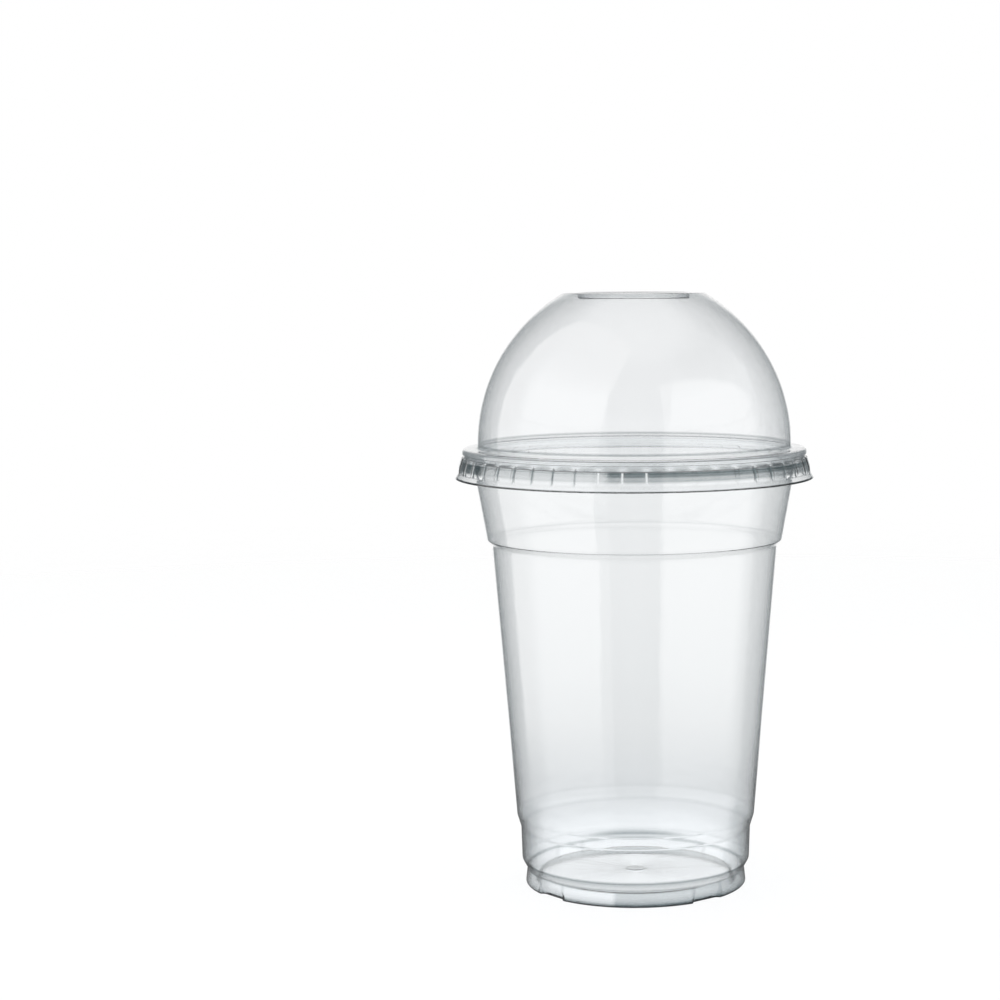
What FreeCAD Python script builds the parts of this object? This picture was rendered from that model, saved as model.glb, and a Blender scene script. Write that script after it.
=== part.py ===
import FreeCAD, Part
import math
import os

# Clear disposable cup with a dome lid, in millimetres. The axis of both pieces is Z, the foot
# stands on the XY plane, and the front is towards -Y. Each piece is one sheet of even thickness,
# so each is drawn as the line of its outer face, and its inner face is that line moved inwards.

# Cup: whole size
cup_height = 122.95
rim_radius = 47.5
foot_radius = 31.2
cup_wall = 0.35

# Cup: raised floor, with a small round dimple at its centre
floor_height = 2.8
floor_radius = 26.9
dimple_radius = 2.4
dimple_height = 0.25
dimple_slope_width = 0.5

# Cup: hollow foot ring with its notches
ring_inner_radius = 27.8
foot_height = 4.6
foot_draft = 0.5
foot_rounding = 0.6
notch_count = 4
notch_angle = 40.0
notch_width = 10.5
notch_depth = 2.0
notch_height = 4.4
notch_side_taper = 1.6

# Cup: stacking band, step and straight wall
band_step = 0.95
band_round_height = 2.6
band_height = 9.1
band_draft = 0.3
step_width = 1.1
step_height = 3.5

# Cup: shoulder and collar under the rim
shoulder_step = 1.4
shoulder_height = 1.4
collar_height = 25.1
collar_flare = 4.45

# Cup: rolled rim
rim_width = 1.75
rim_depth = 3.1
rim_rounding = 1.05
rim_turn_in = 1.2

# Lid: fit on the cup
lid_wall = 0.3
seat_clearance = 0.15
snap_clearance = 0.15

# Lid: flange, bead and skirt
flange_width = 3.75
shoulder_rounding = 1.0
bead_height = 1.5
bead_depth = 0.15
bead_undercut_height = 0.45
skirt_top_step = 0.4
skirt_top_height = 0.45
skirt_height = 4.7
skirt_flare = 0.95
edge_width = 0.75
edge_height = 1.2

# Lid: grip grooves in the skirt, half a step off the front
groove_count = 48
groove_radius = 0.5
groove_depth = 0.3
groove_top_gap = 0.45
groove_bottom_gap = 0.6

# Lid: dome with its hole
dome_height = 42.9
dome_top_radius = 19.7
dome_arc_radius = 48.06
dome_foot_rounding = 0.9
crown_rise = 0.2
hole_radius = 15.3
hole_lip_height = 1.8

# Roundings of the small bends
fine_rounding = 0.35
bend_rounding = 0.9
soft_rounding = 2.0

flange_top = cup_height + seat_clearance + lid_wall

origin = FreeCAD.Vector(0, 0, 0)
upwards = FreeCAD.Vector(0, 0, 1)
front_angle = -90.0
same_point = 1e-6
same_angle = 1e-4
most_sectors = 8


class Stretch:
    """A straight or round stretch of an outline in the (radius, height) plane, with a direction."""

    def __init__(self, start, along, centre, radius, turn):
        self.start = start
        self.along = along
        self.centre = centre
        self.radius = radius
        self.turn = turn

    def moved(self, distance):
        """The same stretch moved to the left of its direction."""
        start = (self.start[0] - self.along[1] * distance, self.start[1] + self.along[0] * distance)
        return Stretch(start, self.along, self.centre, self.radius - self.turn * distance, self.turn)

    def direction(self, point):
        """The direction of travel at a point."""
        if not self.centre:
            return self.along
        x = (point[0] - self.centre[0]) / self.radius
        z = (point[1] - self.centre[1]) / self.radius
        return (-self.turn * z, self.turn * x)

    def nearest(self, point):
        """The point of the stretch's line or circle that is nearest to a point."""
        if self.centre:
            reach = self.radius / math.dist(point, self.centre)
            return (self.centre[0] + (point[0] - self.centre[0]) * reach,
                    self.centre[1] + (point[1] - self.centre[1]) * reach)
        reach = ((point[0] - self.start[0]) * self.along[0]
                 + (point[1] - self.start[1]) * self.along[1])
        return (self.start[0] + self.along[0] * reach, self.start[1] + self.along[1] * reach)


def stretch_between(start, end, centre):
    """The stretch from one corner to the next, straight if it has no centre."""
    length = math.dist(start, end)
    along = ((end[0] - start[0]) / length, (end[1] - start[1]) / length)
    if not centre:
        return Stretch(start, along, None, 0.0, 0.0)
    across = (start[0] - centre[0]) * along[1] - (start[1] - centre[1]) * along[0]
    return Stretch(start, along, centre, math.dist(start, centre), math.copysign(1.0, across))


def crossing(first, second, near):
    """Where two stretches meet, at the place nearest to a given point."""
    if first.centre:
        first, second = second, first
    if not second.centre:
        across = first.along[0] * second.along[1] - first.along[1] * second.along[0]
        reach = ((second.start[0] - first.start[0]) * second.along[1]
                 - (second.start[1] - first.start[1]) * second.along[0]) / across
        return (first.start[0] + first.along[0] * reach, first.start[1] + first.along[1] * reach)
    middle = first.nearest(second.centre)
    half = math.sqrt(second.radius ** 2 - math.dist(middle, second.centre) ** 2)
    ends = [(middle[0] + first.along[0] * side * half, middle[1] + first.along[1] * side * half)
            for side in (-1, 1)]
    return min(ends, key=lambda end: math.dist(end, near))


def arc_middle(start, end, centre):
    """The middle of the short arc between two points about a centre."""
    x = (start[0] + end[0]) / 2 - centre[0]
    z = (start[1] + end[1]) / 2 - centre[1]
    reach = math.dist(start, centre) / math.hypot(x, z)
    return (centre[0] + x * reach, centre[1] + z * reach)


def outline(corners, inset):
    """Points of the line through (radius, height, rounding, centre) corners, moved inwards.

    Each corner is rounded by a tangent arc. A corner with a centre starts a round stretch.
    The result is a list of (end,) for straight and (middle, end) for round pieces, which starts
    with the first point.
    """
    points = [corner[:2] for corner in corners]
    stretches = [stretch_between(points[i], points[i + 1], corners[i][3]).moved(inset)
                 for i in range(len(corners) - 1)]
    pieces = [(stretches[0].nearest(points[0]),)]

    def go_to(stretch, end):
        if stretch.centre:
            pieces.append((arc_middle(pieces[-1][-1], end, stretch.centre), end))
        else:
            pieces.append((end,))

    for before, after, point, corner in zip(stretches, stretches[1:], points[1:], corners[1:]):
        way_in = before.direction(point)
        way_out = after.direction(point)
        side = math.copysign(1.0, way_in[0] * way_out[1] - way_in[1] * way_out[0])
        rounding = max(corner[2] - side * inset, 0.0)
        hub = crossing(before.moved(side * rounding), after.moved(side * rounding), point)
        go_to(before, before.nearest(hub))
        if rounding > 0.0:
            end = after.nearest(hub)
            pieces.append((arc_middle(pieces[-1][-1], end, hub), end))
    go_to(stretches[-1], stretches[-1].nearest(points[-1]))
    return pieces


def reversed_pieces(pieces):
    """The same line travelled from its end to its start."""
    ends = [piece[-1] for piece in pieces]
    middles = [piece[:-1] for piece in pieces]
    back = [(ends[-1],)]
    for i in range(len(pieces) - 1, 0, -1):
        back.append(middles[i] + (ends[i - 1],))
    return back


def turned(pieces, first_angle, angle):
    """The closed line of these pieces, turned round the Z axis."""
    def place(point):
        return FreeCAD.Vector(point[0], 0, point[1])

    edges = []
    at = pieces[0][-1]
    for piece in pieces[1:] + [pieces[0]]:
        if len(piece) == 2:
            edges.append(Part.Arc(place(at), place(piece[0]), place(piece[1])).toShape())
        elif math.dist(at, piece[0]) > same_point:
            edges.append(Part.makeLine(place(at), place(piece[0])))
        at = piece[-1]
    face = Part.Face(Part.Wire(edges))
    face.rotate(origin, upwards, first_angle)
    return face.revolve(origin, upwards, angle)


def sheet(corners, wall, first_angle=0.0, angle=360.0):
    """A turned sheet of even thickness inside the line through the corners."""
    section = outline(corners, 0.0) + reversed_pieces(outline(corners, wall))
    return turned(section, first_angle, angle)


def filled(corners, inset):
    """All that lies inside the line through the corners, once it is moved inwards."""
    pieces = outline(corners, inset)
    return turned(pieces + [((0.0, pieces[-1][-1][1]),), ((0.0, pieces[0][-1][1]),)], 0.0, 360.0)


def ring_of(shape, count, first_angle, step):
    """Copies of a shape round the Z axis, one at each step."""
    copies = []
    for i in range(count):
        copy = shape.copy()
        copy.rotate(origin, upwards, first_angle + step * i)
        copies.append(copy)
    return copies


def closed_ring(sector, count, first_angle):
    """Equal sectors joined into one solid: their outer faces are kept and sewn together."""
    angle = 360.0 / count

    def is_end(face):
        middle = face.CenterOfMass
        off = math.degrees(math.atan2(middle.y, middle.x)) - first_angle
        turns = min(off % 360.0, -off % 360.0, (off - angle) % 360.0, (angle - off) % 360.0)
        return isinstance(face.Surface, Part.Plane) and turns < same_angle and count > 1

    skin = Part.makeCompound([face for face in sector.Faces if not is_end(face)])
    skins = Part.makeCompound(ring_of(skin, count, 0.0, angle))
    skins.sewShape()
    return Part.makeSolid(skins.Shells[0])


def foot_corners():
    """The underside: dimple, raised floor, foot ring and the crease above it."""
    crease = foot_radius - foot_draft
    return [
        (0.0, floor_height + dimple_height, 0.0, None),
        (dimple_radius, floor_height + dimple_height, fine_rounding, None),
        (dimple_radius + dimple_slope_width, floor_height, fine_rounding, None),
        (floor_radius, floor_height, bend_rounding, None),
        (ring_inner_radius, 0.0, bend_rounding, None),
        (foot_radius, 0.0, foot_rounding, None),
        (crease, foot_height, fine_rounding, None),
        (foot_radius + band_step, foot_height + band_round_height, soft_rounding, None),
    ]


def wall_corners():
    """The stacking band, the step, the straight wall, the shoulder, the collar and the rim."""
    band_top = foot_height + band_round_height + band_height
    band_radius = foot_radius + band_step + band_draft
    collar_top = cup_height - cup_wall
    collar_top_radius = rim_radius - rim_width
    collar_radius = collar_top_radius - collar_flare
    collar_bottom = cup_height - collar_height
    curl_radius = rim_radius - cup_wall
    curl_rounding = rim_rounding - cup_wall
    curl_bottom = cup_height - rim_depth
    return [
        (band_radius, band_top, soft_rounding, None),
        (band_radius + step_width, band_top + step_height, soft_rounding, None),
        (collar_radius - shoulder_step, collar_bottom - shoulder_height, bend_rounding, None),
        (collar_radius, collar_bottom, fine_rounding, None),
        (collar_top_radius, collar_top, curl_rounding, None),
        (curl_radius, collar_top, curl_rounding, None),
        (curl_radius, curl_bottom + cup_wall, fine_rounding, None),
        (curl_radius - rim_turn_in, curl_bottom + cup_wall, 0.0, None),
    ]


def notch_wedge(growth):
    """A wedge that takes a corner off the foot: deep at the bottom, and nothing at its top."""
    slope = notch_depth / notch_height
    reach = foot_radius + notch_depth
    grown = growth * math.hypot(1.0, slope)

    def section(z):
        inner = foot_radius - notch_depth + slope * z - grown
        wide = notch_width / 2 + growth
        narrow = wide - notch_side_taper
        corners = [(inner, -narrow), (reach, -wide), (reach, wide), (inner, narrow)]
        points = [FreeCAD.Vector(x, y, z) for x, y in corners]
        return Part.makePolygon(points + points[:1])

    return Part.makeLoft([section(-cup_wall * 2), section(notch_height + cup_wall * 2)], True, True)


def make_cup():
    """The cup, with the sheet turned inwards at each notch of the foot."""
    foot = foot_corners()
    step = 360.0 / notch_count
    notches = ring_of(notch_wedge(0.0), notch_count, front_angle + notch_angle, step)
    panel = notch_wedge(cup_wall).common(filled(foot, cup_wall / 2))
    panels = ring_of(panel, notch_count, front_angle + notch_angle, step)
    return sheet(foot + wall_corners(), cup_wall).fuse(panels).cut(notches).removeSplitter()


def skirt_line():
    """The two ends of the skirt's slanting face: (radius, height) at its top and its foot."""
    pinch_radius = rim_radius + snap_clearance + lid_wall
    top = flange_top - bead_height - bead_undercut_height - skirt_top_height
    radius = pinch_radius + skirt_top_step
    return (radius, top), (radius + skirt_flare, top - skirt_height)


def dome_centre():
    """Centre of the dome's arc, from its two ends and its radius."""
    foot = (rim_radius - flange_width, flange_top)
    top = (dome_top_radius, flange_top + dome_height)
    half = math.dist(foot, top) / 2
    away = math.sqrt(dome_arc_radius ** 2 - half ** 2) / (2 * half)
    return ((foot[0] + top[0]) / 2 - (top[1] - foot[1]) * away,
            (foot[1] + top[1]) / 2 + (top[0] - foot[0]) * away)


def lid_corners():
    """The lid's outer face, from the skirt's free edge up and over the dome to the hole's lip."""
    pinch_radius = rim_radius + snap_clearance + lid_wall
    bead_radius = pinch_radius + bead_depth
    bead_bottom = flange_top - bead_height
    skirt_top, skirt_foot = skirt_line()
    crown = flange_top + dome_height
    return [
        (skirt_foot[0] + edge_width, skirt_foot[1] - edge_height, 0.0, None),
        (*skirt_foot, bend_rounding, None),
        (*skirt_top, fine_rounding, None),
        (pinch_radius, bead_bottom - bead_undercut_height, fine_rounding, None),
        (bead_radius, bead_bottom, fine_rounding, None),
        (bead_radius, flange_top, shoulder_rounding, None),
        (rim_radius - flange_width, flange_top, dome_foot_rounding, dome_centre()),
        (dome_top_radius, crown, bend_rounding, None),
        (hole_radius, crown + crown_rise, bend_rounding, None),
        (hole_radius, crown + crown_rise - hole_lip_height, 0.0, None),
    ]


def groove_rod(radius):
    """A round-ended rod along the skirt, sunk into its face by the groove's depth."""
    top, foot = skirt_line()
    length = math.dist(top, foot)
    down = ((foot[0] - top[0]) / length, (foot[1] - top[1]) / length)
    out = (-down[1], down[0])
    lift = groove_radius - groove_depth

    def along(distance):
        return FreeCAD.Vector(top[0] + down[0] * distance + out[0] * lift, 0,
                              top[1] + down[1] * distance + out[1] * lift)

    start = along(groove_top_gap)
    end = along(length - groove_bottom_gap)
    rod = Part.makeCylinder(radius, (end - start).Length, start, end - start)
    return rod.fuse([Part.makeSphere(radius, start), Part.makeSphere(radius, end)])


def make_lid():
    """The lid, made as equal sectors, with the sheet turned inwards at each groove of the skirt."""
    corners = lid_corners()
    step = 360.0 / groove_count
    sectors = math.gcd(groove_count, most_sectors)
    per_sector = groove_count // sectors
    groove = groove_rod(groove_radius)
    rib = groove_rod(groove_radius + lid_wall).common(filled(corners[:6], lid_wall / 2))
    part = sheet(corners, lid_wall, front_angle, step * per_sector)
    part = part.fuse(ring_of(rib, per_sector, front_angle + step / 2, step))
    part = part.cut(ring_of(groove, per_sector, front_angle + step / 2, step))
    return closed_ring(part, sectors, front_angle)


def write(name, shape):
    """One STEP file for one node."""
    if len(shape.Solids) != 1 or not shape.isValid():
        raise ValueError(name + " is not one valid solid")
    shape.Solids[0].exportStep("parts/" + name + ".step")


os.makedirs("parts", exist_ok=True)
write("cup", make_cup())
write("dome_lid", make_lid())
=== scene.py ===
"""A clear disposable cup with a dome lid on a pale floor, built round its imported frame."""

import math

import bpy
import mathutils
import numpy as np
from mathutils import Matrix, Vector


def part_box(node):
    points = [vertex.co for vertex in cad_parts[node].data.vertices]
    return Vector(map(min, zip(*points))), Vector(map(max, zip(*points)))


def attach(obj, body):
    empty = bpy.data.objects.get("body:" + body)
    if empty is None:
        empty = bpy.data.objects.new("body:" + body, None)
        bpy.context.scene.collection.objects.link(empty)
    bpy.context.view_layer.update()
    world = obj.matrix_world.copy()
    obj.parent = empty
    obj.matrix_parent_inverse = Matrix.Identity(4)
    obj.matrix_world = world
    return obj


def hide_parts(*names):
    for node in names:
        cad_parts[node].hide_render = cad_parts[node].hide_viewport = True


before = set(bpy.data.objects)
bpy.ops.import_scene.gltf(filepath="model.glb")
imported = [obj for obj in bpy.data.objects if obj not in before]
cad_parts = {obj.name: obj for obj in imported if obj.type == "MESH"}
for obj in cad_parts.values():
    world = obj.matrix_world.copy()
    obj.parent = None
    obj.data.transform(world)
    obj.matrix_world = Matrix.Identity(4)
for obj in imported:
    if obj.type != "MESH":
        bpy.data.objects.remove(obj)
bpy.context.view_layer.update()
cup_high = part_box("cup")[1]

bl_info = {
    "name": "Clear cup with dome lid",
    "version": (1, 0, 0),
    "blender": (4, 5, 0),
    "location": "View3D > Sidebar > Clear cup",
    "description": "Makes a clear disposable cup, its dome lid and a pale studio round them",
    "category": "Object",
}

MM = 0.001

# Grids: degrees of a rounded corner between two points, how strongly the points of a leg gather
# at its ends (0 spreads them evenly), rows over the dome, and angles round the cup.
ARC_STEP = 13.0
END_CROWDING = 0.7
DOME_ROWS = 34
CUP_ANGLES = 320

# The cup's outline in millimetres: heights over the ground, then radii, then the rolled rim.
BOSS = 3.05
FLOOR = 2.8
FOOT_TOP = 4.6
BAND_FOOT = 7.2
BAND_TOP = 16.3
WALL_FOOT = 19.8
SHOULDER = 96.45
COLLAR = 97.85
FLOOR_RADIUS = 26.9
RING_RADIUS = 27.8
SHOULDER_RADIUS = 39.9
COLLAR_RADIUS = 41.3
ROLL_WIDTH = 1.75
ROLL_DEPTH = 3.1

# The notches of the foot: how many, the first one's degrees to the right of the front, the height
# where the slanting flat meets the foot's outside, half a notch's width, the width of its fading
# end, and the width of the painted shade along its edge.
NOTCH_COUNT = 4
NOTCH_TURN = 40.0
NOTCH_TOP = 4.4 * MM
NOTCH_HALF_WIDTH = 5.3 * MM
NOTCH_FADE = 0.9 * MM
NOTCH_EDGE_SHADE = 0.4 * MM

# The lid's outline in millimetres: the flange inside the rim's radius, the crown's flat, the
# radius of the dome's arc, the hole's lip, and the skirt's free edge under and outside the neck.
FLANGE_WIDTH = 3.75
CROWN_RADIUS = 19.7
DOME_ARC = 48.06
LIP_RISE = 0.2
LIP_DEPTH = 1.8
SKIRT_DEPTH = 8.3
SKIRT_FLARE = 2.1

# The grip panels: the radius where lengths round the skirt are taken, the depth of their middle
# under the flange, half their height, half the groove between them, the rounding of their
# corners, their sloping border, how much they swell, and where the flared edge takes over.
SKIRT_RADIUS = 48.7 * MM
PANEL_DROP = 4.55 * MM
PANEL_HALF_HEIGHT = 2.25 * MM
GROOVE_HALF_WIDTH = 0.3 * MM
PANEL_CORNER = 0.8 * MM
PANEL_BORDER = 0.4 * MM
PANEL_SWELL = 0.12 * MM
FLARE_START = 0.3 * MM
FLARE_FADE = 0.8 * MM

# Where the grid of a grip panel has its points, as shares of the pitch from groove to groove.
PANEL_SHARES = (0.0, 0.035, 0.065, 0.095, 0.14, 0.26, 0.5, 0.74, 0.86, 0.905, 0.935, 0.965)

# Unevenness of the walls: its size, then waves as (periods round the axis, radians in 10 mm of
# height, start, strength).
WAVE_SIZE = 0.04 * MM
CUP_WAVES = ((2, 0.0, 0.4, 1.0), (3, 0.5, 1.9, 0.6), (5, -0.7, 0.2, 0.4), (9, 1.1, 2.6, 0.15))
LID_WAVES = ((2, 0.0, 2.1, 1.0), (3, 0.4, 0.3, 0.6), (4, -0.5, 1.2, 0.4), (7, 0.9, 0.6, 0.15))

# The most that painted shade may darken the sheet, and what painted shade takes from red, green
# and blue: it takes most from red, so the painted shade looks a little cool.
CUP_PAINTED_SHADE_LIMIT = 0.8
LID_PAINTED_SHADE_LIMIT = 0.88
PAINTED_SHADE_COLOUR = (1.0, 0.955, 0.945)

# The floor round the cup: reach, rings, angles round it, and how far it lies under the foot.
PAPER_REACH = 1.2
PAPER_RINGS = 25
PAPER_ANGLES = 96
PAPER_GAP = 0.05 * MM

# The camera: metres in front of the axis and over the ground, degrees downwards and of roll,
# then lens and sensor in millimetres, and the shift as a share of the picture.
CAMERA_AWAY = 0.657
CAMERA_HEIGHT = 0.1724
CAMERA_DOWN = 5.56
CAMERA_ROLL = -0.2
CAMERA_LENS = 84.8
CAMERA_SENSOR = 36.0
CAMERA_SHIFT = -0.1345


def length(name, description, default):
    """A size in metres that a user can change."""
    return bpy.props.FloatProperty(name=name, description=description, default=default,
                                   unit="LENGTH", precision=5)


def share(name, description, default):
    """A number without a unit that a user can change."""
    return bpy.props.FloatProperty(name=name, description=description, default=default, precision=3)


def tint(name, description, default):
    """A colour that a user can change."""
    return bpy.props.FloatVectorProperty(name=name, description=description, default=default,
                                         subtype="COLOR", size=3, min=0.0, max=1.0)


class CupSizes(bpy.types.PropertyGroup):
    """Sizes of the cup."""

    height: length("Height", "From the foot to the top of the rim", cup_high.z)
    rim_radius: length("Rim radius", "Outside of the rolled rim", cup_high.x)
    foot_radius: length("Foot radius", "Outside of the foot ring", 31.2 * MM)
    wall: length("Wall", "Thickness of the formed sheet", 0.35 * MM)
    notch_depth: length("Notch depth", "How far each notch of the foot goes in", 2.0 * MM)


class LidSizes(bpy.types.PropertyGroup):
    """Sizes of the dome lid."""

    wall: length("Wall", "Thickness of the formed sheet", 0.3 * MM)
    seat_gap: length("Seat gap", "Air between the rim and the lid, above it and round it", 0.15 * MM)
    dome_height: length("Dome height", "From the flange to the crown", 42.9 * MM)
    hole_radius: length("Hole radius", "Round hole in the crown", 15.3 * MM)
    groove_depth: length("Groove depth", "Depth of the grooves between the grip panels", 0.42 * MM)
    groove_count: bpy.props.IntProperty(name="Grooves", description="Grip grooves round the skirt",
                                        default=48, min=3)


class PlasticLook(bpy.types.PropertyGroup):
    """Colour and surface of the clear sheet."""

    cup_tint: tint("Cup tint", "Colour left after one wall of the cup", (0.968, 0.977, 0.981))
    lid_tint: tint("Lid tint", "Colour left after one wall of the lid", (0.972, 0.979, 0.984))
    index: share("Index", "Index of refraction of the sheet", 1.57)
    shadow: tint("Shadow tint", "Light let through to the floor by one face", (0.982, 0.984, 0.985))


class StageLook(bpy.types.PropertyGroup):
    """Floor, light and surroundings."""

    floor: tint("Floor", "Colour of the floor", (0.93, 0.933, 0.936))
    room: share("Room", "Brightness of the plain surroundings", 0.25)
    backdrop: share("Backdrop", "Brightness of the pale surroundings behind", 1.0)
    camera_side: share("Camera side", "Brightness of the surroundings behind the camera", 0.5)
    ceiling: share("Ceiling", "Brightness of the surroundings overhead", 0.75)
    left_box: share("Left soft box", "Brightness of the soft box on the left", 0.95)
    right_box: share("Right soft box", "Brightness of the soft box on the right", 0.93)
    overhead: share("Overhead", "Power of the lamp that lights the floor, in watts", 2.0)


class Value:
    """A shader socket that takes part in arithmetic: each operation adds one Math node."""

    def __init__(self, tree, socket):
        self.tree = tree
        self.socket = socket

    def output(self, name):
        """Another output of the same node."""
        return Value(self.tree, self.socket.node.outputs[name])

    def math(self, operation, *others):
        """A Math node that works on this value and the others."""
        node = self.tree.nodes.new("ShaderNodeMath")
        node.operation = operation
        for place, item in zip(node.inputs, (self, *others)):
            plug(self.tree, place, item)
        return Value(self.tree, node.outputs[0])

    def __add__(self, other):
        return self.math("ADD", other)

    def __sub__(self, other):
        return self.math("SUBTRACT", other)

    def __rsub__(self, other):
        return (self * -1.0) + other

    def __mul__(self, other):
        return self.math("MULTIPLY", other)

    def __truediv__(self, other):
        return self.math("DIVIDE", other)

    __radd__ = __add__
    __rmul__ = __mul__


def plug(tree, place, item):
    """Sets an input socket to a plain value, or links it to a Value."""
    if isinstance(item, Value):
        tree.links.new(item.socket, place)
    else:
        place.default_value = item


class Nodes:
    """One node tree, with one call that adds any node but Math."""

    def __init__(self, tree):
        self.tree = tree
        tree.nodes.clear()

    def add(self, kind, settings=None, out=0, places=None, **inputs):
        """A node of a kind: its settings first, then its sockets by number or name; gives one output."""
        node = self.tree.nodes.new(kind)
        for name, value in (settings or {}).items():
            setattr(node, name, value)
        for number, item in (places or {}).items():
            plug(self.tree, node.inputs[number], item)
        for name, item in inputs.items():
            plug(self.tree, node.inputs[name.replace("_", " ")], item)
        return Value(self.tree, node.outputs[out]) if len(node.outputs) else None

    def step(self, low, high, value):
        """A soft step from 0 to 1 as the value goes from low to high."""
        return self.add("ShaderNodeMapRange", {"interpolation_type": "SMOOTHSTEP"},
                        Value=value, From_Min=low, From_Max=high)

    def mix(self, factor, first, second):
        """The first shader where the factor is 0, the second where it is 1."""
        return self.add("ShaderNodeMixShader", places={0: factor, 1: first, 2: second})

    def split(self, vector):
        """The x, y and z of a vector."""
        parts = self.add("ShaderNodeSeparateXYZ", Vector=vector)
        return [parts.output(axis) for axis in "XYZ"]


def ramp(value, width):
    """A straight rise from 0 to 1 while a value goes from 0 to a width."""
    return np.clip(value / width, 0.0, 1.0)


def smooth(rise):
    """A rise from 0 to 1 with level ends: 3 times its square less 2 times its cube."""
    return rise * rise * (3.0 - 2.0 * rise)


def bell(value, width, power=2):
    """1 where a value is 0, falling as e to minus (value over width) to a power."""
    return np.exp(-(value / width) ** power)


def soft_line(corners):
    """A line of points through corners, with each corner rounded by a tangent arc.

    A corner is (radius, height, rounding, rows): rows points lie on the leg that starts there,
    closer together near both its ends. The arc at a corner that turns by t starts and ends
    rounding * tan(t / 2) away from it. A rounding of zero keeps the corner's own point.
    """
    places = np.array([corner[:2] for corner in corners], float)
    legs = np.diff(places, axis=0)
    lengths = np.linalg.norm(legs, axis=1)
    along = legs / lengths[:, None]
    turns = np.zeros(len(corners))
    cross = along[:-1, 0] * along[1:, 1] - along[:-1, 1] * along[1:, 0]
    turns[1:-1] = np.arctan2(cross, (along[:-1] * along[1:]).sum(1))
    roundings = np.array([corner[2] for corner in corners], float)
    cut = roundings * np.tan(np.abs(turns) / 2)
    pieces = []
    for i, leg in enumerate(along):
        if cut[i] > 0.0:
            side = math.copysign(1.0, turns[i])
            left = np.array([-along[i - 1, 1], along[i - 1, 0]]) * side
            hub = places[i] - along[i - 1] * cut[i] + left * roundings[i]
            steps = max(3, math.ceil(abs(math.degrees(turns[i])) / ARC_STEP))
            angle = np.linspace(0.0, turns[i], steps + 1)[1:-1, None]
            pieces.append(hub - left * roundings[i] * np.cos(angle)
                          + along[i - 1] * roundings[i] * np.abs(np.sin(angle)))
        even = np.linspace(0.0, 1.0, corners[i][3] + 1)
        eased = END_CROWDING * (1.0 - np.cos(math.pi * even)) / 2 + (1.0 - END_CROWDING) * even
        reach = cut[i] + (lengths[i] - cut[i] - cut[i + 1]) * eased
        if cut[i + 1] == 0.0 and i + 2 < len(corners):
            reach = reach[:-1]
        pieces.append(places[i] + leg * reach[:, None])
    return np.concatenate(pieces)


def inwards(line):
    """Unit vectors to the left of a line of points, from the differences of its neighbours."""
    along = np.gradient(line, axis=0)
    along /= np.linalg.norm(along, axis=1)[:, None]
    return np.stack([-along[:, 1], along[:, 0]], axis=1)


def both_faces(values):
    """Values of the outer face repeated for the inner face, which runs back."""
    return np.concatenate([values, values[::-1]])


def sheet_surface(line, wall, angles, push):
    """Both faces of a turned sheet as one grid: rows go up the outer face and down the inner one.

    push is how far each point of the outer face moves towards the axis, by row and angle. The
    inner face is the outer line moved left by the wall, and each of its points makes the same
    move as the point across the wall, so the sheet keeps its thickness.
    """
    inner = line + inwards(line) * wall
    inner[:, 0] = np.maximum(inner[:, 0], 0.0)
    both = np.concatenate([line, inner[::-1]])
    radius = np.maximum(both[:, :1] - both_faces(push), 0.0)
    height = np.broadcast_to(both[:, 1:], radius.shape)
    return np.stack([radius * np.cos(angles), radius * np.sin(angles), height], axis=2)


def mesh_from_grid(name, grid, painted_shade, pole_ends, coarse=None):
    """A closed mesh from a grid of rows by angles, with the painted shade of each point.

    Rows join their neighbours, and the last angle joins the first. With pole_ends the first and
    the last row are single points on the axis, otherwise the last row joins the first. Coarse
    rows keep every second angle: the points between take the place of the one before them, and
    the faces that lose their width that way are left out.
    """
    rows, columns = grid.shape[:2]
    number = np.arange(rows * columns).reshape(rows, columns)
    if coarse is not None:
        number[coarse, 1::2] = number[coarse, 0::2]
    if pole_ends:
        number[[0, -1]] = number[[0, -1], :1]
        lower, upper = number[:-1], number[1:]
    else:
        lower, upper = number, np.roll(number, -1, axis=0)
    quads = np.stack([lower, np.roll(lower, -1, axis=1), np.roll(upper, -1, axis=1), upper],
                     axis=2).reshape(-1, 4)
    fresh = quads != np.roll(quads, 1, axis=1)
    used, quads = np.unique(quads, return_inverse=True)
    quads = quads.reshape(-1, 4)
    corners = quads[fresh]
    sizes = fresh.sum(1)
    whole = sizes >= 3
    corners = corners[np.repeat(whole, sizes)]
    sizes = sizes[whole]
    mesh = bpy.data.meshes.new(name)
    mesh.vertices.add(len(used))
    mesh.vertices.foreach_set("co", grid.reshape(-1, 3)[used].reshape(-1))
    mesh.loops.add(len(corners))
    mesh.loops.foreach_set("vertex_index", corners)
    mesh.polygons.add(len(sizes))
    mesh.polygons.foreach_set("loop_start", np.cumsum(sizes) - sizes)
    mesh.polygons.foreach_set("loop_total", sizes)
    mesh.polygons.foreach_set("use_smooth", np.ones(len(sizes), bool))
    mesh.update(calc_edges=True)
    mesh.validate()
    # The painted shade of each point reaches the sheet's colour through this attribute.
    layer = mesh.attributes.new("painted_shade", "FLOAT", "POINT")
    layer.data.foreach_set("value", painted_shade.reshape(-1)[used])
    piece = bpy.data.objects.new(name, mesh)
    bpy.context.scene.collection.objects.link(piece)
    return piece


def painted_shade_marks(line, shade_marks):
    """Painted shade along a line: each mark is (radius, height, width, strength) and fades as a bell.

    Tight bends of clear sheet look darker, because light that enters them leaves sideways; this
    paints that shade into the sheet's colour.
    """
    place = np.array(shade_marks, float)
    away = np.hypot(line[:, :1] / MM - place[:, 0], line[:, 1:] / MM - place[:, 1])
    return (place[:, 3] * bell(away, place[:, 2])).sum(1)[:, None]


def turn_from_front(angles):
    """Degrees round the axis from the front, from -180 to 180, positive to the right."""
    return (np.degrees(angles) + 270.0) % 360.0 - 180.0


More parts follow.
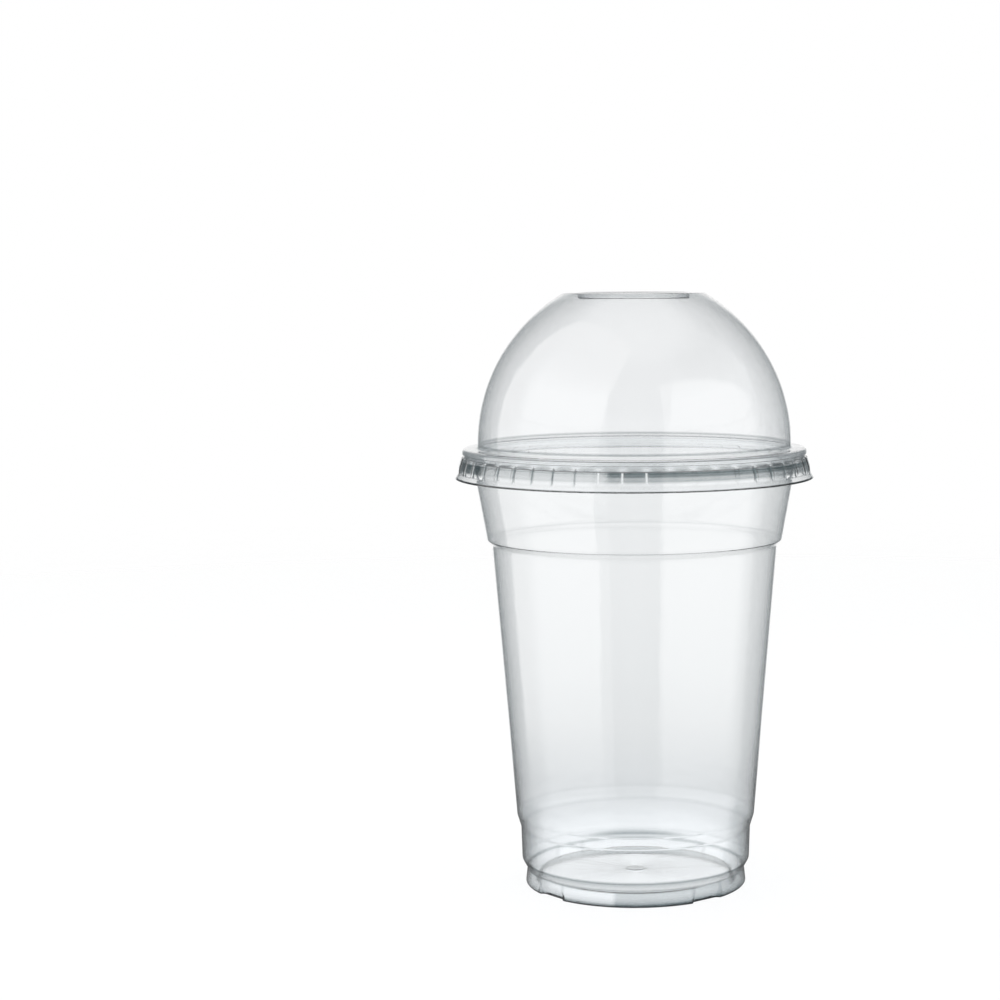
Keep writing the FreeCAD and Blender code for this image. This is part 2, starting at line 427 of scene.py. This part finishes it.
def slow_waves(line, angles, waves):
    """The small unevenness of formed sheet: a sum of sines round the axis and up the wall."""
    height = line[:, 1:] / (10.0 * MM)
    total = 0.0
    for around, upwards, start, strength in waves:
        total = total + strength * np.sin(around * angles + upwards * height + start)
    return WAVE_SIZE * total


def cup_line(cup):
    """The cup's outer face, from the middle of the floor out and up to the tip of the rolled rim."""
    foot = cup.foot_radius / MM
    rim = cup.rim_radius / MM
    top = cup.height / MM
    wall = cup.wall / MM
    corners = [
        (0.0, BOSS, 0.0, 2),
        (2.4, BOSS, 0.6, 1),
        (2.9, FLOOR, 0.6, 12),
        (FLOOR_RADIUS, FLOOR, 0.9, 2),
        (RING_RADIUS, 0.0, 0.9, 2),
        (foot, 0.0, 0.6, 6),
        (foot - 0.5, FOOT_TOP, 0.5, 4),
        (foot + 0.95, BAND_FOOT, 2.0, 8),
        (foot + 1.25, BAND_TOP, 1.8, 4),
        (foot + 2.35, WALL_FOOT, 1.8, 26),
        (SHOULDER_RADIUS, SHOULDER, 1.0, 2),
        (COLLAR_RADIUS, COLLAR, 0.5, 12),
        (rim - ROLL_WIDTH, top - wall, 1.15, 1),
        (rim - wall, top - wall, 0.4, 2),
        (rim - wall, top - ROLL_DEPTH + wall, 1.1, 1),
        (rim - wall - 1.2, top - ROLL_DEPTH + wall, 0.0, 1),
    ]
    return soft_line(corners) * MM


def cup_painted_shade(cup):
    """Where shade is painted on the cup's sheet all round."""
    foot = cup.foot_radius / MM
    rim = cup.rim_radius / MM
    top = cup.height / MM
    return [
        (1.2, BOSS, 1.5, 0.12),
        (FLOOR_RADIUS, FLOOR, 0.4, 0.04),
        (RING_RADIUS - 0.2, 0.9, 1.1, 0.08),
        (foot, -0.2, 1.4, 0.22),
        (foot - 0.5, FOOT_TOP, 0.35, 0.36),
        (foot + 0.8, BAND_FOOT - 0.1, 0.40, 0.12),
        (foot + 1.2, BAND_TOP, 0.4, 0.10),
        (foot + 2.3, WALL_FOOT + 0.2, 0.6, 0.06),
        (SHOULDER_RADIUS, SHOULDER, 0.5, 0.05),
        (COLLAR_RADIUS - 0.1, COLLAR, 0.4, 0.08),
        (rim - 1.6, top - ROLL_DEPTH + 0.3, 0.3, 0.10),
    ]


def cup_side_painted_shade(cup, line, angles):
    """Painted shade that the cup's foot and band get on one side only.

    At the front these are the ledge under the band, the bottom edge, and a grey foot, darker on
    the right than on the left. At the back it is the shaded underside of the band. At both sides
    the lowest part of the cup is darker, and the foot's wall less so.
    """
    foot = cup.foot_radius / MM
    height = line[:, 1:] / MM
    turn = turn_from_front(angles)
    from_front = np.abs(turn)
    front = ramp(100.0 - from_front, 30.0)
    right = ramp(turn + 12.0, 2.0) * front
    middle = ramp(75.0 - from_front, 45.0)
    back = bell(from_front - 180.0, 27.0, 4)
    sides = ramp(34.0 - np.abs(from_front - 90.0), 10.0)
    ledge = painted_shade_marks(line, [(foot + 0.7, BAND_FOOT - 0.5, 0.40, 0.55),
                               (foot + 0.1, BAND_FOOT - 1.5, 1.0, 0.24)])
    bottom = painted_shade_marks(line, [(foot, -0.2, 1.5, 0.46)])
    underside = painted_shade_marks(line, [(foot + 0.15, BAND_FOOT - 1.3, 0.85, 0.60)])
    outside = line[:, :1] > (foot - 1.0) * MM
    foot_wall = outside & (line[:, 1:] < (FOOT_TOP - 0.3) * MM)
    lowest = outside * ramp(21.0 - height, 4.0)
    painted_shade = ledge * front + bottom * middle + underside * back
    painted_shade = painted_shade + foot_wall * (0.06 * front + 0.24 * right)
    return painted_shade + sides * (0.20 * lowest - 0.14 * foot_wall)


def notch_push(cup, line, angles):
    """How far the notches push the foot in, and painted shade along both edges of each notch.

    A notch is a slanting flat, deepest at the ground, and a point outside it is pushed to it. The
    push fades out over the last part of the notch's width on each side.
    """
    foot = cup.foot_radius
    spacing = math.tau / NOTCH_COUNT
    first = math.radians(-90.0 + NOTCH_TURN)
    off = (angles - first + spacing / 2) % spacing - spacing / 2
    aside = np.abs(off) * foot
    height = line[:, 1:]
    flat = foot - cup.notch_depth * (1.0 - height / NOTCH_TOP)
    beyond = np.maximum(line[:, :1] - flat / np.cos(off), 0.0)
    reach = ramp(NOTCH_HALF_WIDTH - aside, NOTCH_FADE)
    push = np.where(height < 5.0 * MM, beyond * smooth(reach), 0.0)
    # Painted shade along the edges at both ends of each notch.
    edge = bell(aside - NOTCH_HALF_WIDTH + NOTCH_FADE / 2, NOTCH_EDGE_SHADE)
    on_foot = (height < FOOT_TOP * MM) & (line[:, :1] > foot - 1.5 * MM)
    return push, np.where(on_foot, edge, 0.0)


def low_painted_reflections(cup, line, angles):
    """Painted reflections low in the cup, for its foot mirrored in the wall: wavy streaks in two belts.
    """
    height = line[:, 1:] / MM
    wide = np.sin(3.1 * height + 1.3 * np.sin(2.0 * angles + 0.5))
    narrow = np.sin(1.7 * height - 0.9 + np.sin(3.0 * angles))
    belts = bell(height - 22.0, 6.0) + 0.7 * bell(height - 11.0, 4.0)
    # Painted shade on the foot's outside, strongest near its bottom.
    glow = bell(height - 2.0, 16.0) * (line[:, :1] > cup.foot_radius - 1.0 * MM)
    return 0.05 * belts * np.clip(wide * narrow, 0.0, 1.0) + 0.02 * glow


def cup_surface(cup):
    """The cup's two faces, with the notches of the foot and a slight unevenness of the wall."""
    line = cup_line(cup)
    angles = np.linspace(0.0, math.tau, CUP_ANGLES, endpoint=False)
    push, notch_shade = notch_push(cup, line, angles)
    rise = ramp(line[:, 1:] - 6.0 * MM, 10.0 * MM)
    fall = ramp(112.0 * MM - line[:, 1:], 15.0 * MM)
    push = push + rise * fall * slow_waves(line, angles, CUP_WAVES)
    # Painted shade: bells all round, shade on one side, at the notch edges, and painted reflections low
    # down.
    painted_shade = painted_shade_marks(line, cup_painted_shade(cup)) + cup_side_painted_shade(cup, line, angles)
    painted_shade = painted_shade + 0.2 * notch_shade + low_painted_reflections(cup, line, angles)
    return sheet_surface(line, cup.wall, angles, push), both_faces(np.clip(painted_shade, 0.0, CUP_PAINTED_SHADE_LIMIT))


def lid_heights(cup, lid):
    """Heights of the lid's flange and of its crown."""
    flange = cup.height + lid.seat_gap + lid.wall
    return flange, flange + lid.dome_height


def lid_neck(cup, lid):
    """Radius of the lid's outer face where it passes the rim."""
    return cup.rim_radius + lid.seat_gap + lid.wall


def lid_line(cup, lid):
    """The lid's outer face, from the skirt's free edge up and over the dome to the hole's lip.

    The dome is an arc through the flange's inner edge and the edge of the crown's flat. Its hub
    lies on the line that halves the chord between them, at the arc's radius from both.
    """
    flange, crown = (value / MM for value in lid_heights(cup, lid))
    hole = lid.hole_radius / MM
    neck = lid_neck(cup, lid) / MM
    foot = np.array([cup.rim_radius / MM - FLANGE_WIDTH, flange])
    top = np.array([CROWN_RADIUS, crown])
    half = np.linalg.norm(top - foot) / 2
    along = (top - foot) / (2 * half)
    hub = (foot + top) / 2 + np.array([-along[1], along[0]]) * math.sqrt(DOME_ARC ** 2 - half ** 2)
    start = math.atan2(foot[1] - hub[1], foot[0] - hub[0])
    end = math.atan2(top[1] - hub[1], top[0] - hub[0])
    bend = np.linspace(start, end, DOME_ROWS + 1)[1:-1]
    dome = [(hub[0] + DOME_ARC * math.cos(a), hub[1] + DOME_ARC * math.sin(a), 0.0, 1) for a in bend]
    corners = [
        (neck + SKIRT_FLARE, flange - SKIRT_DEPTH, 0.0, 2),
        (neck + 1.35, flange - 7.1, 0.9, 5),
        (neck + 1.1, flange - 5.1, 1.5, 7),
        (neck + 0.587, flange - 3.5, 0.0, 6),
        (neck + 0.25, flange - 2.45, 0.5, 3),
        (neck, flange - 1.95, 0.5, 2),
        (neck + 0.15, flange - 1.5, 0.5, 1),
        (neck + 0.15, flange, 1.0, 3),
        (*foot, 0.9, 1),
        *dome,
        (*top, 0.8, 4),
        (hole, crown + LIP_RISE, 0.9, 2),
        (hole, crown + LIP_RISE - LIP_DEPTH, 0.0, 1),
    ]
    return soft_line(corners) * MM


def lid_painted_shade(cup, lid):
    """Where shade is painted on the lid's sheet all round."""
    flange, crown = (value / MM for value in lid_heights(cup, lid))
    dome_foot = cup.rim_radius / MM - FLANGE_WIDTH
    hole = lid.hole_radius / MM
    neck = lid_neck(cup, lid) / MM
    return [
        (neck + SKIRT_FLARE, flange - SKIRT_DEPTH, 0.35, 0.45),
        (neck + 1.35, flange - 7.0, 0.5, 0.06),
        (neck, flange - 0.2, 0.6, 0.06),
        (dome_foot + 0.05, flange + 0.1, 0.5, 0.08),
        (dome_foot + 0.10, flange + 0.9, 0.22, 0.60),
        (CROWN_RADIUS - 0.1, crown, 0.6, 0.15),
        (hole + 0.2, crown + 0.1, 0.5, 0.35),
        (hole, crown + LIP_RISE - LIP_DEPTH, 0.4, 0.40),
    ]


def groove_angles(lid):
    """Angles for the lid's grid: each groove pitch has its points close together at the groove."""
    pitch = math.tau / lid.groove_count
    first = -math.pi / 2 + pitch / 2
    starts = first + pitch * np.arange(lid.groove_count)
    return (starts[:, None] + pitch * np.array(PANEL_SHARES)).reshape(-1)


def panel_lengths(lid, angles):
    """Lengths round the skirt: to the nearest groove, to the panel's middle, and half the pitch."""
    pitch = math.tau / lid.groove_count
    off = (angles + math.pi / 2) % pitch - pitch / 2
    to_groove = np.abs(off) * SKIRT_RADIUS
    half_pitch = pitch * SKIRT_RADIUS / 2
    return to_groove, half_pitch - to_groove, half_pitch


def above_flare(line, flange):
    """0 on the skirt's flared edge, 1 from a little above the panels' lower ends."""
    lower_end = flange - PANEL_DROP - PANEL_HALF_HEIGHT
    return ramp(line[:, 1:] - (lower_end - FLARE_START), FLARE_FADE)


def groove_push(lid, line, angles, flange):
    """How far the skirt lies behind its grip panels, and which points are on a panel.

    Each panel has rounded corners, in the plane of arc length and height. A point's distance
    inside the panel's outline, over the width of its sloping border, gives its height through a
    soft step. The panel also swells towards its middle.
    """
    across, half_pitch = panel_lengths(lid, angles)[1:]
    half_width = half_pitch - GROOVE_HALF_WIDTH
    upwards = np.abs(line[:, 1:] - (flange - PANEL_DROP))
    side = across - (half_width - PANEL_CORNER)
    end = upwards - (PANEL_HALF_HEIGHT - PANEL_CORNER)
    outside = np.hypot(np.maximum(side, 0.0), np.maximum(end, 0.0))
    inside = np.minimum(np.maximum(side, end), 0.0)
    panel = smooth(ramp(PANEL_CORNER - outside - inside, PANEL_BORDER))
    swell = PANEL_SWELL * (across / half_width) ** 2 * panel
    push = (lid.groove_depth * (1.0 - panel) + swell) * smooth(above_flare(line, flange))
    return push, panel > 0.5


def skirt_painted_shade(lid, line, angles, flange, on_panel):
    """Painted shade on the skirt round its grip panels, by depth under the flange and by turn.

    A grey band with three thin lines runs across the panels. It is strongest on the right, where
    it also crosses the grooves, while near the front each groove leaves a pale gap in it. Towards
    the sides the grooves are painted darker, and on the left each panel has a shaded block. Above
    the panels lies a grey ring with a pale spot over each groove and a darker dash over each panel.
    All of it fades out towards the back.
    """
    to_groove, across = panel_lengths(lid, angles)[:2]
    height = line[:, 1:]
    turn = turn_from_front(angles)
    from_front = np.abs(turn)
    front = ramp(100.0 - from_front, 20.0)
    right_end = ramp(84.0 - turn, 16.0)
    right = ramp(turn + 9.5, 1.5) * right_end
    unbroken = ramp(turn - 6.0, 3.0) * right_end
    left = ramp(12.0 - np.abs(turn + 66.5), 2.0)
    sides = ramp(np.where(turn < 0.0, -turn - 12.0, turn - 33.0), 9.0) * ramp(112.0 - from_front, 20.0)

    under = above_flare(line, flange)
    groove = bell(to_groove, 0.26 * MM) * under * (height < flange - 2.4 * MM)
    band = ramp(flange - 3.1 * MM - height, 0.25 * MM) * ramp(height - flange + 5.9 * MM, 0.2 * MM)
    lines = 1.6 * bell(height - flange + 3.5 * MM, 0.25 * MM)
    lines = lines + 0.7 * bell(height - flange + 4.2 * MM, 0.2 * MM)
    lines = lines + 0.3 * bell(height - flange + 5.65 * MM, 0.16 * MM)
    beside_groove = ramp(to_groove - 0.2 * MM, 0.15 * MM)
    cover = np.maximum(beside_groove, np.maximum(unbroken, sides))
    cover = cover * under * (height < flange - 2.6 * MM)
    block = ramp(to_groove - 0.7 * MM, 0.5 * MM) * band * on_panel
    painted_shade = 0.55 * left * block + 0.65 * front * sides * groove
    painted_shade = painted_shade + cover * band * (0.24 * front + 0.22 * right)
    painted_shade = painted_shade + cover * lines * 0.5 * (right + 0.35 * front)

    ring = ramp(height - flange + 3.1 * MM, 0.3 * MM)
    spot = bell(to_groove, 1.3 * MM, 4) * bell(height - flange + 2.35 * MM, 0.6 * MM, 4)
    dash = bell(across, 1.7 * MM, 4) * bell(height - flange + 2.85 * MM, 0.16 * MM)
    return painted_shade + front * (0.17 * ring * (1.0 - spot) + 0.45 * dash)


def lid_surface(cup, lid):
    """The lid's two faces, with the grip grooves and a slight unevenness of the dome.

    Also says which rows keep only every second angle: those inside the rim's radius, where the
    grooves' close points aren't needed.
    """
    line = lid_line(cup, lid)
    angles = groove_angles(lid)
    flange = lid_heights(cup, lid)[0]
    on_skirt = (line[:, 1:] < flange - 1.6 * MM) & (line[:, :1] > cup.rim_radius)
    grooves, on_panel = groove_push(lid, line, angles, flange)
    shade_marks = skirt_painted_shade(lid, line, angles, flange, on_panel)
    rise = ramp(line[:, 1:] - flange, 12.0 * MM)
    push = np.where(on_skirt, grooves, 0.0) + rise * slow_waves(line, angles, LID_WAVES)
    # Painted shade: bells all round, and the skirt's painted shade round the grip panels.
    painted_shade = painted_shade_marks(line, lid_painted_shade(cup, lid)) + np.where(on_skirt, shade_marks, 0.0)
    painted_shade = both_faces(np.clip(painted_shade, 0.0, LID_PAINTED_SHADE_LIMIT))
    coarse = both_faces(line[:, 0] < cup.rim_radius)
    return sheet_surface(line, lid.wall, angles, push), painted_shade, coarse


def clear_sheet(name, colour, look, streaks):
    """Clear formed sheet: glossy, a little uneven, drawn out into faint upright streaks.

    The streaks are noise over the direction from the axis and the height. The mesh's attribute of
    painted shade takes its share from the colour. Rays towards a lamp and rays of scattered light
    pass straight through a plain see-through shader, so the sheet casts a pale shadow.
    """
    material = bpy.data.materials.new(name)
    material.use_nodes = True
    nodes = Nodes(material.node_tree)
    place = nodes.add("ShaderNodeTexCoord", out="Object")
    x, y, z = nodes.split(place)
    off_axis = (x * x + y * y).math("SQRT").math("MAXIMUM", 1.0 * MM)
    around = nodes.add("ShaderNodeCombineXYZ", X=x / off_axis, Y=y / off_axis, Z=z * 9.0)
    drawn = nodes.add("ShaderNodeTexNoise", Vector=around, Scale=streaks, Detail=3.0, Roughness=0.55)
    ripple = nodes.add("ShaderNodeTexNoise", Vector=place, Scale=120.0, Detail=2.0, Roughness=0.5)
    smear = nodes.add("ShaderNodeTexNoise", Vector=place, Scale=38.0, Detail=4.0, Roughness=0.6)
    height = drawn * 0.8 + ripple * 0.35
    normal = nodes.add("ShaderNodeBump", Height=height, Strength=0.22, Distance=0.12 * MM)
    # Painted shade from the mesh darkens the sheet's colour, most in red.
    painted_shade = nodes.add("ShaderNodeAttribute", {"attribute_name": "painted_shade"}, out="Fac")
    red, green, blue = [part * (1.0 - painted_shade * taken) for part, taken in zip(colour, PAINTED_SHADE_COLOUR)]
    through = nodes.add("ShaderNodeCombineColor", Red=red, Green=green, Blue=blue)
    glass = nodes.add("ShaderNodeBsdfPrincipled", Base_Color=through, Normal=normal,
                      Roughness=nodes.step(0.55, 0.9, smear) * 0.05, IOR=look.index,
                      Transmission_Weight=1.0)
    clear = nodes.add("ShaderNodeBsdfTransparent", Color=(*look.shadow, 1.0))
    path = nodes.add("ShaderNodeLightPath")
    passing = path.output("Is Shadow Ray").math("MAXIMUM", path.output("Is Diffuse Ray"))
    nodes.add("ShaderNodeOutputMaterial", Surface=nodes.mix(passing, glass, clear))
    return material


class CUP_OT_make_cup(bpy.types.Operator):
    """Make the clear cup"""

    bl_idname = "clear_cup.make_cup"
    bl_label = "Make cup"

    def execute(self, context):
        scene = context.scene
        grid, painted_shade = cup_surface(scene.cup_sizes)
        piece = mesh_from_grid("clear_cup", grid, painted_shade, True)
        look = scene.plastic_look
        piece.data.materials.append(clear_sheet("cup_sheet", look.cup_tint, look, 26.0))
        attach(piece, "cup")
        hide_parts("cup")
        return {"FINISHED"}


class CUP_OT_make_lid(bpy.types.Operator):
    """Make the clear dome lid"""

    bl_idname = "clear_cup.make_lid"
    bl_label = "Make dome lid"

    def execute(self, context):
        scene = context.scene
        grid, painted_shade, coarse = lid_surface(scene.cup_sizes, scene.lid_sizes)
        piece = mesh_from_grid("clear_lid", grid, painted_shade, False, coarse)
        look = scene.plastic_look
        piece.data.materials.append(clear_sheet("lid_sheet", look.lid_tint, look, 14.0))
        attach(piece, "lid")
        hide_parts("dome_lid")
        return {"FINISHED"}


def floor_mesh():
    """A round floor: rings of points round one middle point, all at one height."""
    angles = np.linspace(0.0, math.tau, PAPER_ANGLES, endpoint=False)
    radius = np.linspace(0.0, PAPER_REACH, PAPER_RINGS)[1:, None]
    height = np.full((PAPER_RINGS - 1, PAPER_ANGLES), -PAPER_GAP)
    grid = np.stack([radius * np.cos(angles), radius * np.sin(angles), height], axis=2)
    points = np.concatenate([[[0.0, 0.0, -PAPER_GAP]], grid.reshape(-1, 3)])
    here = np.arange(PAPER_ANGLES)
    there = (here + 1) % PAPER_ANGLES
    ring = np.arange(PAPER_RINGS - 2)[:, None] * PAPER_ANGLES + 1
    outer = ring + PAPER_ANGLES
    quads = np.stack([ring + here, outer + here, outer + there, ring + there], axis=2)
    middle = np.stack([np.zeros(PAPER_ANGLES, int), 1 + here, 1 + there], axis=1)
    mesh = bpy.data.meshes.new("floor")
    mesh.from_pydata(points.tolist(), [], quads.reshape(-1, 4).tolist() + middle.tolist())
    mesh.update()
    return mesh


def floor_paper(look):
    """Pale paper that fades into the surroundings with its distance from the axis.

    The camera sees lit paper. Every other ray sees a glow instead, which is brightest round the
    foot, dim for rays that a surface has mirrored, and fades out closer to the cup.
    """
    material = bpy.data.materials.new("floor_paper")
    material.use_nodes = True
    nodes = Nodes(material.node_tree)
    place = nodes.add("ShaderNodeTexCoord", out="Object")
    away = nodes.add("ShaderNodeVectorMath", {"operation": "LENGTH"}, out="Value", places={0: place})
    path = nodes.add("ShaderNodeLightPath")
    seen = path.output("Is Camera Ray")
    mirrored = path.output("Glossy Depth").math("MINIMUM", 1.0)
    paper = nodes.add("ShaderNodeBsdfDiffuse", Color=(*look.floor, 1.0))
    shade = (1.30 - nodes.step(0.04, 0.14, away) * 0.38) * (1.0 - mirrored * 0.84)
    dim = nodes.add("ShaderNodeCombineColor", Red=shade * 0.96, Green=shade * 0.98, Blue=shade)
    glow = nodes.add("ShaderNodeEmission", Color=dim, Strength=0.95)
    gone = nodes.add("ShaderNodeBsdfTransparent")
    fade = seen * nodes.step(0.3, 1.0, away) + (1.0 - seen) * nodes.step(0.06, 0.25, away)
    surface = nodes.mix(fade, nodes.mix(seen, glow, paper), gone)
    nodes.add("ShaderNodeOutputMaterial", Surface=surface)
    return material


def make_floor(look):
    """The pale round floor under the cup."""
    mesh = floor_mesh()
    mesh.materials.append(floor_paper(look))
    floor = bpy.data.objects.new("floor", mesh)
    bpy.context.scene.collection.objects.link(floor)


def make_surroundings(scene, look):
    """The studio as seen from the cup: a pale back, two tall soft boxes, and a plain room.

    The back, the front and the ceiling are ranges of angles, round the cup from 0 at the front
    and above the floor. Each soft box is what lies inside three planes through the cup. Rays that
    no surface has mirrored see the pale backdrop instead, and the camera sees plain white.
    """
    world = bpy.data.worlds.new("studio")
    scene.world = world
    world.use_nodes = True
    nodes = Nodes(world.node_tree)
    x, y, z = nodes.split(nodes.add("ShaderNodeTexCoord", out="Generated"))
    around = x.math("ARCTAN2", y * -1.0) * (180.0 / math.pi)
    from_front = around.math("ABSOLUTE")
    above = z.math("ARCSINE") * (180.0 / math.pi)
    below = above * -1.0

    def side_of(right, front, up, soft):
        """1 on the inner side of a straight edge, which is a plane through the cup."""
        size = math.hypot(right, front, up)
        return nodes.step(-soft, soft, x * (right / size) + y * (-front / size) + z * (up / size))

    back = nodes.step(160.0, 170.0, from_front) * (1.0 - nodes.step(40.0, 60.0, above))
    left = side_of(-1.0, -0.49, 0.2, 0.012) * side_of(-0.5, 0.866, 0.0, 0.03)
    left = left * side_of(-3.16, 2.17, -1.0, 0.03)
    right = side_of(0.934, -0.358, 0.0, 0.012) * side_of(0.17, 0.985, 0.0, 0.16)
    right = right * side_of(0.527, 0.675, -1.0, 0.04)
    low = nodes.step(6.0, 20.0, below)
    front = nodes.step(60.0, 30.0, from_front)
    high = nodes.step(48.0, 68.0, above)
    room = look.room + front * (look.camera_side - look.room)
    room = room + high * (look.ceiling - room)
    light = room * (1.0 - low * 0.5) + back * (look.backdrop - look.room)
    light = light + left * (look.left_box - light)
    light = light + right * (look.right_box - light)
    path = nodes.add("ShaderNodeLightPath")
    mirrored = path.output("Glossy Depth").math("MINIMUM", 1.0)
    behind = look.backdrop * (1.0 - nodes.step(7.0, 14.0, below) * 0.12)
    light = behind + mirrored * (light - behind)
    colour = nodes.add("ShaderNodeCombineColor", Red=light.math("POWER", 1.1),
                       Green=light.math("POWER", 1.03), Blue=light)
    shine = nodes.add("ShaderNodeBackground", Color=colour, Strength=1.0)
    plain = nodes.add("ShaderNodeBackground", Color=(1.0, 1.0, 1.0, 1.0), Strength=1.0)
    surface = nodes.mix(path.output("Is Camera Ray"), shine, plain)
    nodes.add("ShaderNodeOutputWorld", Surface=surface)


def make_lamp(scene, look):
    """A wide lamp overhead that lights the floor and doesn't show in the plastic."""
    lamp = bpy.data.lights.new("overhead", "AREA")
    lamp.shape = "DISK"
    lamp.size = 1.2
    lamp.energy = look.overhead
    holder = bpy.data.objects.new("overhead", lamp)
    holder.location = (-0.15, -0.1, 1.3)
    holder.visible_glossy = False
    holder.visible_transmission = False
    scene.collection.objects.link(holder)


def make_camera(scene):
    """The camera: a little above the dome, looking slightly down, with the cup right of the middle."""
    data = bpy.data.cameras.new("camera")
    data.sensor_width = CAMERA_SENSOR
    data.lens = CAMERA_LENS
    data.shift_x = CAMERA_SHIFT
    camera = bpy.data.objects.new("camera", data)
    camera.location = (0.0, -CAMERA_AWAY, CAMERA_HEIGHT)
    turn = mathutils.Euler((math.radians(90.0 - CAMERA_DOWN), 0.0, 0.0)).to_matrix()
    roll = mathutils.Matrix.Rotation(math.radians(CAMERA_ROLL), 3, "Z")
    camera.rotation_euler = (turn @ roll).to_euler()
    scene.collection.objects.link(camera)
    scene.camera = camera


class CUP_OT_make_studio(bpy.types.Operator):
    """Make the pale floor, the soft light and the camera"""

    bl_idname = "clear_cup.make_studio"
    bl_label = "Make studio"

    def execute(self, context):
        scene = context.scene
        make_floor(scene.stage_look)
        make_surroundings(scene, scene.stage_look)
        make_lamp(scene, scene.stage_look)
        make_camera(scene)
        scene.view_settings.view_transform = "Standard"
        scene.cycles.max_bounces = 40
        scene.cycles.transmission_bounces = 36
        scene.cycles.glossy_bounces = 12
        scene.cycles.transparent_max_bounces = 24
        scene.cycles.use_denoising = True
        return {"FINISHED"}


class CUP_PT_panel(bpy.types.Panel):
    """Sidebar panel with the cup's sizes, colours and makers"""

    bl_label = "Clear cup"
    bl_space_type = "VIEW_3D"
    bl_region_type = "UI"
    bl_category = "Clear cup"

    def draw(self, context):
        for group in (context.scene.cup_sizes, context.scene.lid_sizes,
                      context.scene.plastic_look, context.scene.stage_look):
            box = self.layout.box()
            for name in group.__annotations__:
                box.prop(group, name)
        for maker in (CUP_OT_make_cup, CUP_OT_make_lid, CUP_OT_make_studio):
            self.layout.operator(maker.bl_idname)


CLASSES = (CupSizes, LidSizes, PlasticLook, StageLook,
           CUP_OT_make_cup, CUP_OT_make_lid, CUP_OT_make_studio, CUP_PT_panel)


def register():
    """Registers the classes and hangs each group of properties on the scene."""
    for item in CLASSES:
        bpy.utils.register_class(item)
    bpy.types.Scene.cup_sizes = bpy.props.PointerProperty(type=CupSizes)
    bpy.types.Scene.lid_sizes = bpy.props.PointerProperty(type=LidSizes)
    bpy.types.Scene.plastic_look = bpy.props.PointerProperty(type=PlasticLook)
    bpy.types.Scene.stage_look = bpy.props.PointerProperty(type=StageLook)


def unregister():
    """Takes away what register added."""
    for name in ("stage_look", "plastic_look", "lid_sizes", "cup_sizes"):
        delattr(bpy.types.Scene, name)
    for item in reversed(CLASSES):
        bpy.utils.unregister_class(item)


def main():
    """Registers the tools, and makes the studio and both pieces."""
    register()
    bpy.ops.clear_cup.make_studio()
    bpy.ops.clear_cup.make_cup()
    bpy.ops.clear_cup.make_lid()


if __name__ == "__main__":
    main()
